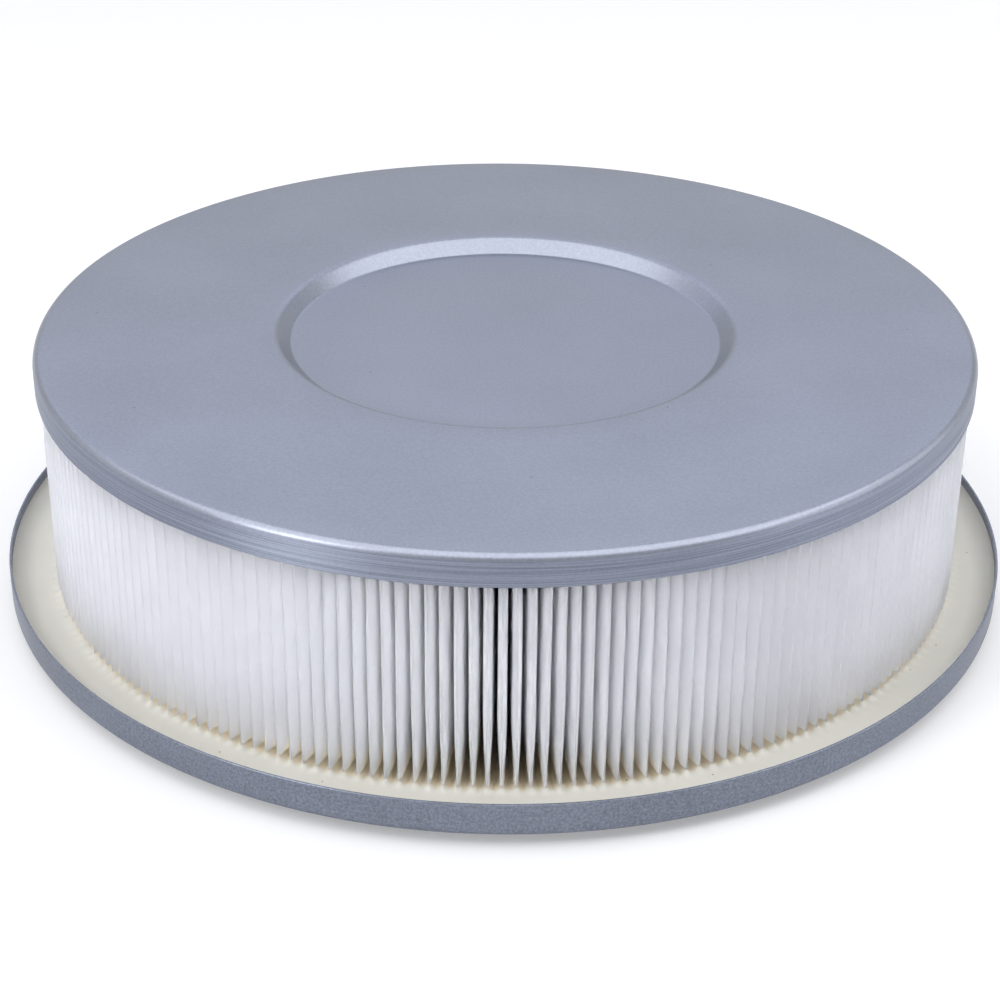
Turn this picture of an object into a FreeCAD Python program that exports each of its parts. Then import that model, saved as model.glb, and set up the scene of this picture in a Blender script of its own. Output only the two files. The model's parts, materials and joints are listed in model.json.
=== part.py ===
import FreeCAD
import Part
import Sketcher
import math
import os

# Round vacuum filter, open at the bottom and closed at the top.
# A pleated paper pack stands between a pressed steel cap and a wider steel flange pan, and resin pots
# its ends into both. A slotted steel liner holds the pack up inside, round the outlet in the pan.
# A foam gasket under the pan seals the flange to the machine. The press bends are small flat bevels.
# Millimetres, +Z up, origin at the centre of the gasket's underside.

Vector = FreeCAD.Vector
UP = Vector(0, 0, 1)
PARTS_FOLDER = "parts"
CUT_MARGIN = 1.0

SIZES = (
    ("sheet_thickness", 0.6, "steel of the cap and of the pan"),
    ("filter_height", 65.5, "pan underside to cap top"),
    ("cap_diameter", 240.0, "outside of the cap's skirt"),
    ("cap_skirt_height", 7.8, "cap top to the skirt's free edge"),
    ("cap_shoulder_bevel", 0.7, "outside bend between cap top and skirt"),
    ("recess_depth", 3.4, "cap top to the floor of its round recess"),
    ("recess_wall_run", 3.8, "how far the recess wall slopes inwards"),
    ("recess_clearance", 2.1, "recess lip to the bore of the liner"),
    ("flange_overhang", 10.75, "how far the pan stands out beyond the cap"),
    ("rim_height", 8.8, "pan underside to the rim's free edge"),
    ("rim_foot_bevel", 0.8, "outside bend at the foot of the rim"),
    ("outlet_diameter", 120.0, "clear bore of the outlet collar"),
    ("collar_height", 8.0, "pan underside to the collar's free edge"),
    ("liner_clearance", 0.5, "collar to the bore of the liner"),
    ("liner_thickness", 0.8, "steel of the liner"),
    ("slot_count", 12, "air slots round the liner"),
    ("slot_width", 9.0, "across one slot"),
    ("slot_end_band", 7.0, "plain band at each end of the liner"),
    ("pleat_count", 225, "outer folds round the pack"),
    ("media_thickness", 0.35, "filter paper"),
    ("pack_clearance", 0.5, "pleat tips to the skirt, and pleat roots to the liner"),
    ("bottom_potting_depth", 4.2, "resin on the floor of the pan"),
    ("meniscus_rise", 1.6, "how far the resin climbs the rim"),
    ("meniscus_width", 6.0, "ring over which it climbs"),
    ("top_potting_depth", 4.5, "resin under the top of the cap"),
    ("gasket_thickness", 3.0, "foam under the pan"),
    ("gasket_width", 12.0, "ring width of the foam"),
    ("gasket_inset", 7.5, "rim to the outer edge of the foam"),
)

# Sizes that follow from the driving ones, as expressions on the sheet
CAP_RADIUS = "(sizes.cap_diameter / 2)"
CAP_INSIDE = f"({CAP_RADIUS} - sizes.sheet_thickness)"
FLANGE_RADIUS = f"({CAP_RADIUS} + sizes.flange_overhang)"
FLANGE_INSIDE = f"({FLANGE_RADIUS} - sizes.sheet_thickness)"
OUTLET_RADIUS = "(sizes.outlet_diameter / 2)"
COLLAR_OUTSIDE = f"({OUTLET_RADIUS} + sizes.sheet_thickness)"
LINER_INSIDE = f"({COLLAR_OUTSIDE} + sizes.liner_clearance)"
LINER_OUTSIDE = f"({LINER_INSIDE} + sizes.liner_thickness)"
LINER_HEIGHT = "(sizes.filter_height - 2 * sizes.sheet_thickness)"
RECESS_LIP_RADIUS = f"({LINER_INSIDE} - sizes.recess_clearance)"
RECESS_FLOOR_RADIUS = f"({RECESS_LIP_RADIUS} - sizes.recess_wall_run)"
PLEAT_TIP_RADIUS = f"({CAP_INSIDE} - sizes.pack_clearance)"
PLEAT_ROOT_RADIUS = f"({LINER_OUTSIDE} + sizes.pack_clearance)"
SLOT_HEIGHT = f"({LINER_HEIGHT} - 2 * sizes.slot_end_band)"
PACK_HEIGHT = f"({LINER_HEIGHT} - sizes.bottom_potting_depth - sizes.top_potting_depth)"
GASKET_OUTSIDE = f"({FLANGE_RADIUS} - sizes.gasket_inset)"
GASKET_INSIDE = f"({GASKET_OUTSIDE} - sizes.gasket_width)"

# Heights of the seats above the gasket's underside
PAN_UNDERSIDE = "sizes.gasket_thickness"
PAN_FLOOR = f"({PAN_UNDERSIDE} + sizes.sheet_thickness)"
POTTING_LEVEL = f"({PAN_FLOOR} + sizes.bottom_potting_depth)"
CAP_TOP = f"({PAN_UNDERSIDE} + sizes.filter_height)"
CAP_SKIRT_EDGE = f"({CAP_TOP} - sizes.cap_skirt_height)"
TOP_POTTING_FACE = f"({CAP_TOP} - sizes.sheet_thickness - sizes.top_potting_depth)"

doc = FreeCAD.newDocument("vacuum_filter")


def make_sheet():
    sheet = doc.addObject("Spreadsheet::Sheet", "sizes")
    for row, (alias, number, note) in enumerate(SIZES, start=1):
        sheet.set(f"A{row}", alias)
        sheet.set(f"B{row}", str(number))
        sheet.setAlias(f"B{row}", alias)
        sheet.set(f"C{row}", note)
    doc.recompute()
    return sheet


sheet = make_sheet()


def value(expression):
    """The number that an expression on the sheet stands for now."""
    return float(sheet.evalExpression(expression))


def new_body(label, height):
    """An empty body whose own origin stands at that height on the filter's axis."""
    body = doc.addObject("PartDesign::Body", label)
    body.Label = label
    body.setExpression("Placement.Base.z", height)
    return body


def origin_feature(body, role):
    return next(f for f in body.Origin.OriginFeatures if f.Role == role)


def new_sketch(body, name, plane):
    sketch = body.newObject("Sketcher::SketchObject", name)
    sketch.AttachmentSupport = [(origin_feature(body, plane), "")]
    sketch.MapMode = "FlatFace"
    return sketch


def bind(sketch, constraint, name, expression):
    """Adds a dimension, names it and ties it to the sheet."""
    sketch.renameConstraint(sketch.addConstraint(constraint), name)
    sketch.setExpression(f"Constraints.{name}", expression)


def add_circle(sketch, name, radius):
    circle = sketch.addGeometry(Part.Circle(Vector(), UP, value(radius)))
    sketch.addConstraint(Sketcher.Constraint("Coincident", circle, 3, -1, 1))
    bind(sketch, Sketcher.Constraint("Radius", circle, value(radius)), name, radius)


def place_point(sketch, edge, end, name, x, y):
    """Fixes one end of an edge at x and y, where a None keeps it on that axis of the sketch."""
    for kind, axis, coordinate in (("DistanceX", -2, x), ("DistanceY", -1, y)):
        if coordinate is None:
            sketch.addConstraint(Sketcher.Constraint("PointOnObject", edge, end, axis))
        else:
            constraint = Sketcher.Constraint(kind, -1, 1, edge, end, value(coordinate))
            bind(sketch, constraint, f"{name}_{kind[-1].lower()}", coordinate)


def add_polygon(sketch, corners):
    """A closed outline of straight edges through named corners (name, x, y)."""
    points = [Vector(value(x) if x else 0, value(y) if y else 0, 0) for _, x, y in corners]
    following = points[1:] + points[:1]
    edges = [sketch.addGeometry(Part.LineSegment(a, b)) for a, b in zip(points, following)]
    for edge, next_edge in zip(edges, edges[1:] + edges[:1]):
        sketch.addConstraint(Sketcher.Constraint("Coincident", edge, 2, next_edge, 1))
    for edge, (name, x, y) in zip(edges, corners):
        place_point(sketch, edge, 1, name, x, y)


def add_slot(sketch):
    """The outline of one air slot, about the sketch's upright axis."""
    half, low = value("sizes.slot_width") / 2, value("sizes.slot_end_band")
    high = low + value(SLOT_HEIGHT)
    corners = [Vector(-half, low), Vector(half, low), Vector(half, high), Vector(-half, high)]
    sides = [
        sketch.addGeometry(Part.LineSegment(a, b)) for a, b in zip(corners, corners[1:] + corners[:1])
    ]
    bottom, right, top, left = sides
    for side, next_side in zip(sides, sides[1:] + sides[:1]):
        sketch.addConstraint(Sketcher.Constraint("Coincident", side, 2, next_side, 1))
    for kind, side in (("Horizontal", top), ("Vertical", right), ("Vertical", left)):
        sketch.addConstraint(Sketcher.Constraint(kind, side))
    sketch.addConstraint(Sketcher.Constraint("Symmetric", bottom, 1, bottom, 2, -2))
    width = Sketcher.Constraint("DistanceX", bottom, 1, bottom, 2, 2 * half)
    bind(sketch, width, "width", "sizes.slot_width")
    height = Sketcher.Constraint("DistanceY", right, 1, right, 2, high - low)
    bind(sketch, height, "height", SLOT_HEIGHT)
    foot = Sketcher.Constraint("DistanceY", -1, 1, bottom, 1, low)
    bind(sketch, foot, "foot", "sizes.slot_end_band")


def pad(body, sketch, length):
    feature = body.newObject("PartDesign::Pad", f"{sketch.Name}_pad")
    feature.Profile = sketch
    feature.setExpression("Length", length)
    doc.recompute()
    return feature


def turn(body, kind, sketch):
    """A full Revolution or Groove of the sketch about its upright axis."""
    feature = body.newObject(f"PartDesign::{kind}", f"{sketch.Name}_{kind.lower()}")
    feature.Profile = sketch
    feature.ReferenceAxis = (sketch, ["V_Axis"])
    feature.Angle = 360
    doc.recompute()
    return feature


def ring_edge(base, radius, height):
    """Name of the base's whole circle at that radius and height."""
    for index, edge in enumerate(base.Shape.Edges, start=1):
        curve = edge.Curve
        if isinstance(curve, Part.Circle) and len(edge.Vertexes) == 1:
            off_radius = abs(curve.Radius - value(radius))
            off_height = abs(curve.Center.z - (value(height) if height else 0))
            if off_radius < 1e-6 and off_height < 1e-6:
                return f"Edge{index}"
    raise ValueError(f"no ring of radius {radius} at height {height} on {base.Name}")


def bevel_edge(body, base, edge, size, name):
    feature = body.newObject("PartDesign::Chamfer", name)
    feature.Base = (base, [edge])
    feature.setExpression("Size", size)
    doc.recompute()
    return feature


def press_from_sheet(body, base, open_side):
    """Hollows the base to the sheet's thickness, open on its top (+1) or bottom (-1) flat face."""

    def is_open(face):
        return isinstance(face.Surface, Part.Plane) and open_side * face.normalAt(0, 0).z > 0.5

    def outermost(index):
        return open_side * base.Shape.Faces[index].CenterOfMass.z

    flat = [i for i, face in enumerate(base.Shape.Faces) if is_open(face)]
    feature = body.newObject("PartDesign::Thickness", f"{base.Name}_sheet")
    feature.Base = (base, [f"Face{max(flat, key=outermost) + 1}"])
    feature.setExpression("Value", "sizes.sheet_thickness")
    feature.Reversed = True
    feature.Join = "Intersection"
    doc.recompute()
    return feature


def make_top_end_cap():
    """Closed cap: a pressed disc with a turned-down skirt and a round recess in its top."""
    body = new_body("top_end_cap", CAP_SKIRT_EDGE)
    disc = new_sketch(body, "cap_disc", "XY_Plane")
    add_circle(disc, "cap_radius", CAP_RADIUS)
    pad(body, disc, "sizes.cap_skirt_height")
    top = "sizes.cap_skirt_height"
    floor = "(sizes.cap_skirt_height - sizes.recess_depth)"
    recess = new_sketch(body, "cap_recess", "XZ_Plane")
    add_polygon(recess, (
        ("axis_top", None, top),
        ("lip", RECESS_LIP_RADIUS, top),
        ("floor", RECESS_FLOOR_RADIUS, floor),
        ("axis_floor", None, floor),
    ))
    cut = turn(body, "Groove", recess)
    pressed = press_from_sheet(body, cut, open_side=-1)
    edge = ring_edge(pressed, CAP_RADIUS, top)
    bevel_edge(body, pressed, edge, "sizes.cap_shoulder_bevel", "cap_shoulder")
    return body


def make_bottom_end_cap():
    """Open pan: a pressed ring with a rim at its outside and a collar round the outlet."""
    body = new_body("bottom_end_cap", PAN_UNDERSIDE)
    ring = new_sketch(body, "pan_ring", "XY_Plane")
    add_circle(ring, "flange_radius", FLANGE_RADIUS)
    add_circle(ring, "outlet_radius", OUTLET_RADIUS)
    blank = pad(body, ring, "sizes.rim_height")
    pressed = press_from_sheet(body, blank, open_side=1)
    edge = ring_edge(pressed, FLANGE_RADIUS, None)
    bevel_edge(body, pressed, edge, "sizes.rim_foot_bevel", "rim_foot")
    trim = new_sketch(body, "collar_trim", "XZ_Plane")
    inner = f"({OUTLET_RADIUS} - {CUT_MARGIN})"
    outer = f"({COLLAR_OUTSIDE} + {CUT_MARGIN})"
    above = f"(max(sizes.rim_height; sizes.collar_height) + {CUT_MARGIN})"
    add_polygon(trim, (
        ("inner_edge", inner, "sizes.collar_height"),
        ("outer_edge", outer, "sizes.collar_height"),
        ("outer_top", outer, above),
        ("inner_top", inner, above),
    ))
    turn(body, "Groove", trim)
    return body


def make_bottom_potting():
    """Resin poured in the pan: flat under the pleats, and drawn up the rim at its edge."""
    body = new_body("bottom_potting", PAN_FLOOR)
    section = new_sketch(body, "resin_section", "XZ_Plane")
    level = "sizes.bottom_potting_depth"
    add_polygon(section, (
        ("bore_foot", LINER_OUTSIDE, None),
        ("rim_foot", FLANGE_INSIDE, None),
        ("rim_contact", FLANGE_INSIDE, f"({level} + sizes.meniscus_rise)"),
        ("climb_start", f"({FLANGE_INSIDE} - sizes.meniscus_width)", level),
        ("bore_top", LINER_OUTSIDE, level),
    ))
    turn(body, "Revolution", section)
    return body


def make_top_potting():
    """Resin under the cap, from the liner to the skirt."""
    body = new_body("top_potting", TOP_POTTING_FACE)
    ring = new_sketch(body, "top_resin_ring", "XY_Plane")
    add_circle(ring, "skirt_inside", CAP_INSIDE)
    add_circle(ring, "liner_outside", LINER_OUTSIDE)
    pad(body, ring, "sizes.top_potting_depth")
    return body


def make_flange_gasket():
    """Foam ring under the pan."""
    body = new_body("flange_gasket", "0")
    ring = new_sketch(body, "gasket_ring", "XY_Plane")
    add_circle(ring, "gasket_outside", GASKET_OUTSIDE)
    add_circle(ring, "gasket_inside", GASKET_INSIDE)
    pad(body, ring, "sizes.gasket_thickness")
    return body


def on_circle(radius, angle):
    return Vector(radius * math.cos(angle), radius * math.sin(angle), 0)


def closed_wire(points):
    return Part.makePolygon(points + points[:1])


def make_pleated_media():
    """One strip of filter paper folded to and fro between the liner and the cap's skirt."""
    paper = value("sizes.media_thickness")
    tip, root = value(PLEAT_TIP_RADIUS), value(PLEAT_ROOT_RADIUS)
    count = round(value("sizes.pleat_count"))
    pitch = 2 * math.pi / count
    outside, inside = [], []
    for pleat in range(count):
        middle = pleat * pitch - math.pi / 2
        valley = middle + pitch / 2
        outside += [
            on_circle(tip, middle - paper / tip),
            on_circle(tip, middle + paper / tip),
            on_circle(root + paper, valley),
        ]
        inside += [
            on_circle(tip - paper, middle),
            on_circle(root, valley - paper / root),
            on_circle(root, valley + paper / root),
        ]
    section = doc.addObject("Part::Feature", "pleat_section")
    section.Shape = Part.makeFace([closed_wire(outside), closed_wire(inside)], "Part::FaceMakerBullseye")
    media = doc.addObject("Part::Extrusion", "pleated_media")
    media.Label = "pleated_media"
    media.Base = section
    media.DirMode = "Custom"
    media.Dir = UP
    media.Solid = True
    media.setExpression("LengthFwd", PACK_HEIGHT)
    media.setExpression("Placement.Base.z", POTTING_LEVEL)
    return media


def make_inner_liner():
    """Steel tube punched with tall air slots."""
    body = new_body("inner_liner", PAN_FLOOR)
    tube = new_sketch(body, "liner_tube", "XY_Plane")
    add_circle(tube, "liner_outside", LINER_OUTSIDE)
    add_circle(tube, "liner_inside", LINER_INSIDE)
    pad(body, tube, LINER_HEIGHT)
    punch = new_sketch(body, "air_slot", "XZ_Plane")
    add_slot(punch)
    slot = body.newObject("PartDesign::Pocket", "air_slot_pocket")
    slot.Profile = punch
    slot.setExpression("Length", f"({LINER_OUTSIDE} + {CUT_MARGIN})")
    doc.recompute()
    pattern = body.newObject("PartDesign::PolarPattern", "air_slot_pattern")
    pattern.Originals = [slot]
    pattern.Axis = (origin_feature(body, "Z_Axis"), [""])
    pattern.Angle = 360
    pattern.setExpression("Occurrences", "sizes.slot_count")
    body.Tip = pattern
    doc.recompute()
    return body


def check(pieces):
    """Stops if an object failed to build or a piece isn't one valid solid."""
    for item in doc.Objects:
        if {"Invalid", "Error"} & set(item.State):
            raise RuntimeError(f"{item.Name} failed: {item.State}")
    for piece in pieces:
        shape = piece.Shape
        if shape.isNull() or not shape.isValid() or len(shape.Solids) != 1:
            raise RuntimeError(f"{piece.Label} isn't one valid solid")


def main():
    pieces = [
        make_top_end_cap(),
        make_bottom_end_cap(),
        make_bottom_potting(),
        make_top_potting(),
        make_flange_gasket(),
        make_pleated_media(),
        make_inner_liner(),
    ]
    doc.recompute()
    check(pieces)
    os.makedirs(PARTS_FOLDER, exist_ok=True)
    for piece in pieces:
        piece.Shape.exportStep(os.path.join(PARTS_FOLDER, f"{piece.Label}.step"))
        box = piece.Shape.optimalBoundingBox(False)
        print(
            f"{piece.Label}: {piece.Shape.Volume:.0f} mm3, {box.XLength:.2f} mm across,"
            f" from {box.ZMin:.2f} to {box.ZMax:.2f} mm up"
        )


main()
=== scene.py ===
# %% [markdown]
# # A round pleated vacuum filter
#
# The filter is a drum that stands on its open end. A long strip of white paper is folded into 225 deep
# pleats, and each end of the pack is glued with poured resin into a pressed steel cap. The closed cap is
# on top, and the wider pan with the outlet is below. This lesson dresses the CAD frame of that filter.
# The turned pieces are made again with their true bends, the paper is folded by Geometry Nodes, and
# every surface gets a finish that is built from what the real material is.

# %% Load the frame
import json
import math

import bpy
from mathutils import Matrix, Vector, noise


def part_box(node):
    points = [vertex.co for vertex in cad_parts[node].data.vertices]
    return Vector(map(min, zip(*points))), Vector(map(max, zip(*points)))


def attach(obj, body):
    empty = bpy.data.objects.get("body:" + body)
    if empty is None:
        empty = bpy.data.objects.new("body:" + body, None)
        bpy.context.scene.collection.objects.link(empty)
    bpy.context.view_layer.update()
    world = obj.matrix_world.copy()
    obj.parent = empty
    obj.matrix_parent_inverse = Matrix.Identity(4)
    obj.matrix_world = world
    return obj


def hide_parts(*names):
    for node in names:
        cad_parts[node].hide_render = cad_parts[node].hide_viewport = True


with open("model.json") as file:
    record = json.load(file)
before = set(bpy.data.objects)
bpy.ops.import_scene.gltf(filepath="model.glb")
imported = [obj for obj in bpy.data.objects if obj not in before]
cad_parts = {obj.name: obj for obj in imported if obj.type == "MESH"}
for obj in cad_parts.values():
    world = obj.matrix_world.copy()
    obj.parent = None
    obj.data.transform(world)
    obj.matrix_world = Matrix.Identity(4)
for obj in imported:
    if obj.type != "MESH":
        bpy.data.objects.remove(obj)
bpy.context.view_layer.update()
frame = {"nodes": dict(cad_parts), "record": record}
print("CAD nodes:", sorted(frame["nodes"]))

# %% [markdown]
# ## Sizes
#
# Blender counts in metres, and a workshop counts in millimetres. All the sections below are written in
# millimetres, so one value turns them into metres. Whatever the frame already knows is read from it: the
# boxes of the nodes give radii and heights, and the outlet's mount gives its bore. Only what a box
# can't tell, such as a bend radius or a wall thickness, is written here as a size of its own.

# %% Read the sizes from the frame
MM = 0.001


def span(node):
    """Outer radius, lowest and highest point of a round node, in millimetres."""
    low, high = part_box(node)
    return -low.y / MM, low.z / MM, high.z / MM


CAP_RADIUS, SKIRT_EDGE, CAP_TOP = span("top_end_cap")
PAN_RADIUS, PAN_UNDERSIDE, RIM_TOP = span("bottom_end_cap")
PLEAT_TIP, RESIN_LEVEL, PLEAT_TOP = span("pleated_media")
RESIN_RADIUS, PAN_FLOOR, RESIN_AT_RIM = span("bottom_potting")
GASKET_RADIUS, GASKET_FOOT, GASKET_TOP = span("flange_gasket")
LINER_RADIUS = span("inner_liner")[0]
SHEET = PAN_FLOOR - PAN_UNDERSIDE
mounts = {mount["name"]: mount for mount in frame["record"]["mounts"]}
OUTLET_RADIUS = mounts["outlet_bore"]["dims"]["r_mm"]
COLLAR_TOP = PAN_UNDERSIDE + mounts["outlet_bore"]["dims"]["length_mm"]
print(f"cap {2 * CAP_RADIUS:.1f} mm, pan {2 * PAN_RADIUS:.1f} mm across, {CAP_TOP:.1f} mm high")
print(f"sheet {SHEET:.2f} mm thick, outlet {2 * OUTLET_RADIUS:.1f} mm across")

# %% [markdown]
# ## Two small helpers for nodes and colours
#
# Colours are picked as sRGB hex values, as a paint shop would note them, but shaders count in linear
# light, so one function converts them. A second function adds any node to any tree: it takes the node's
# settings, and a table of what feeds its sockets, which is either a link or a plain value. With it a
# material or a geometry tree reads from top to bottom like a recipe.

# %% Helpers for nodes and colours


def linear(colour):
    """An sRGB hex colour as linear RGBA."""
    parts = [int(colour[i:i + 2], 16) / 255 for i in (1, 3, 5)]
    return [p / 12.92 if p <= 0.04045 else ((p + 0.055) / 1.055) ** 2.4 for p in parts] + [1.0]


def add_node(tree, kind, feeds=None, **settings):
    """Adds a node with its settings, and feeds its sockets from links or plain values."""
    node = tree.nodes.new(kind)
    for name, setting in settings.items():
        setattr(node, name, setting)
    for socket, source in (feeds or {}).items():
        if isinstance(source, bpy.types.NodeSocket):
            tree.links.new(source, node.inputs[socket])
        else:
            node.inputs[socket].default_value = source
    return node


def new_material(name):
    """An empty material, its node tree, and Object coordinates to read."""
    material = bpy.data.materials.new(name)
    material.use_nodes = True
    tree = material.node_tree
    tree.nodes.clear()
    coordinates = add_node(tree, "ShaderNodeTexCoord").outputs["Object"]
    return material, tree, coordinates


def per_metre(size):
    """The scale of a pattern on metres whose features are that many millimetres wide."""
    return 1 / (size * MM)


def from_axis(tree, place):
    """How far a place is from the filter's axis."""
    flat = add_node(
        tree, "ShaderNodeVectorMath", {0: place, 1: (1.0, 1.0, 0.0)}, operation="MULTIPLY"
    ).outputs[0]
    return add_node(tree, "ShaderNodeVectorMath", {0: flat}, operation="LENGTH").outputs["Value"]


# %% [markdown]
# ## Zinc-coated sheet steel
#
# Both caps are pressed from steel sheet with a thin zinc coat. Zinc is a grey-blue metal with a satin face:
# it blurs what it mirrors, so a bend shows a soft bright line and the flat top one even tone. The coat has
# a fine grain, and a few pinholes show as dark specks. The die draws long lines round the skirt, and they
# stretch the mirrored light across them, so the skirt gets a finish of its own: noise squeezed along Z
# gives the lines, and an anisotropic shader stretches the light. The skirt's base colour is also painted a
# little lighter than the plate's, though both are one sheet: that is painted light. A UV map round the drum
# could carry the lines too, but Object coordinates need no unwrapping. The pan and the liner are galvanised,
# with a stronger grain. The grain is drawn coarser than the real coat's, so that it shows in the picture.

# %% Zinc-coated sheet steel
CLOUD_SIZE = 38
CLOUD_TONE = 0.5
LINE_SIZE = (70, 70, 0.32)
PINHOLE_SPACING = 65


def zinc_sheet(name, colours, roughness, grain, grain_tone, grain_depth, line_tone, line_depth, drawn_out):
    """Satin zinc coat; the grain's size and the depths of grain and lines are in millimetres."""
    material, tree, place = new_material(name)
    grains = add_node(
        tree, "ShaderNodeTexNoise", {"Vector": place, "Scale": per_metre(grain), "Detail": 3.0}
    ).outputs["Fac"]
    clouds = add_node(
        tree, "ShaderNodeTexNoise", {"Vector": place, "Scale": per_metre(CLOUD_SIZE), "Detail": 2.0}
    ).outputs["Fac"]
    squeezed = add_node(
        tree,
        "ShaderNodeMapping",
        {"Vector": place, "Scale": [per_metre(size) for size in LINE_SIZE]},
    ).outputs["Vector"]
    lines = add_node(
        tree, "ShaderNodeTexNoise", {"Vector": squeezed, "Scale": 1.0, "Detail": 3.0, "Roughness": 0.6}
    ).outputs["Fac"]
    pinholes = add_node(
        tree,
        "ShaderNodeTexVoronoi",
        {"Vector": place, "Scale": per_metre(PINHOLE_SPACING)},
        voronoi_dimensions="2D",
    ).outputs["Distance"]
    bare = add_node(
        tree,
        "ShaderNodeMapRange",
        {"Value": pinholes, "From Min": 0.002, "From Max": 0.006, "To Min": 0.5, "To Max": 0.0},
    ).outputs["Result"]
    tone = 0.5 - (grain_tone + CLOUD_TONE + line_tone) / 2
    for pattern, contrast in ((grains, grain_tone), (clouds, CLOUD_TONE), (lines, line_tone)):
        tone = add_node(
            tree, "ShaderNodeMath", {0: pattern, 1: contrast, 2: tone}, operation="MULTIPLY_ADD"
        ).outputs[0]
    zinc = add_node(
        tree,
        "ShaderNodeMix",
        {0: tone, 6: linear(colours[0]), 7: linear(colours[1])},
        data_type="RGBA",
    ).outputs[2]
    spotted = add_node(
        tree,
        "ShaderNodeMix",
        {0: bare, 6: zinc, 7: linear("#3a3c42")},
        data_type="RGBA",
    ).outputs[2]
    satin = add_node(
        tree,
        "ShaderNodeMapRange",
        {"Value": grains, "To Min": roughness - 0.04, "To Max": roughness + 0.04},
    ).outputs["Result"]
    ridges = add_node(
        tree,
        "ShaderNodeBump",
        {"Height": lines, "Distance": line_depth * MM, "Strength": 1.0},
    ).outputs["Normal"]
    bump = add_node(
        tree,
        "ShaderNodeBump",
        {"Height": grains, "Distance": grain_depth * MM, "Strength": 1.0, "Normal": ridges},
    ).outputs["Normal"]
    round_axis = add_node(tree, "ShaderNodeTangent", direction_type="RADIAL", axis="Z").outputs[0]
    shader = add_node(
        tree,
        "ShaderNodeBsdfPrincipled",
        {
            "Base Color": spotted,
            "Roughness": satin,
            "Metallic": 1.0,
            "Anisotropic": drawn_out,
            "Anisotropic Rotation": 0.25,
            "Tangent": round_axis,
            "Normal": bump,
        },
    )
    add_node(tree, "ShaderNodeOutputMaterial", {"Surface": shader.outputs[0]})
    return material


cap_zinc = zinc_sheet(
    "satin_zinc_sheet_steel", ("#7b7f8c", "#959aa8"), roughness=0.33,
    grain=0.7, grain_tone=1.0, grain_depth=0.008, line_tone=0.0, line_depth=0.0, drawn_out=0.0,
)
# The skirt is the same sheet as the plate, but its base colours are painted a little lighter: painted light.
skirt_zinc = zinc_sheet(
    "drawn_zinc_sheet_steel", ("#7c8292", "#9aa1b2"), roughness=0.46,
    grain=0.6, grain_tone=0.8, grain_depth=0.008, line_tone=3.6, line_depth=0.03, drawn_out=0.95,
)
pan_zinc = zinc_sheet(
    "grained_galvanised_steel", ("#6a707c", "#8a909f"), roughness=0.45,
    grain=0.6, grain_tone=2.2, grain_depth=0.03, line_tone=0.5, line_depth=0.03, drawn_out=0.5,
)
print("metals:", cap_zinc.name, skirt_zinc.name, pan_zinc.name)

# %% [markdown]
# ## Glass-fibre filter paper
#
# The medium is a felted sheet of white glass fibre, a third of a millimetre thick. It is matt and almost
# pure white, with a faint cloudiness where the fibres lie thicker. Light seeps through the fibres and from
# wall to wall, so a fold glows even where no lamp reaches it: subsurface scattering gives that, with its
# quick Burley method. At its foot the paper has taken up resin before it set, so a cream stain climbs out
# of the pot, higher deep in the folds than at the tips. The stain is painted lighter than the clean paper,
# and that part of it is painted light, which lifts the shaded feet of the folds. The height above the resin
# and the distance from the tips are both known from Object coordinates. The fibres are drawn half a
# millimetre wide, far coarser than real ones, so that they show.

# %% Glass-fibre filter paper
FIBRE_SIZE = 0.5
FIBRE_CLOUD_SIZE = 9
SOAK_RISE_DEEP = 3.5
SOAK_RISE_AT_TIP = -1.5
SOAK_RAGGED = 2.0


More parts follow.
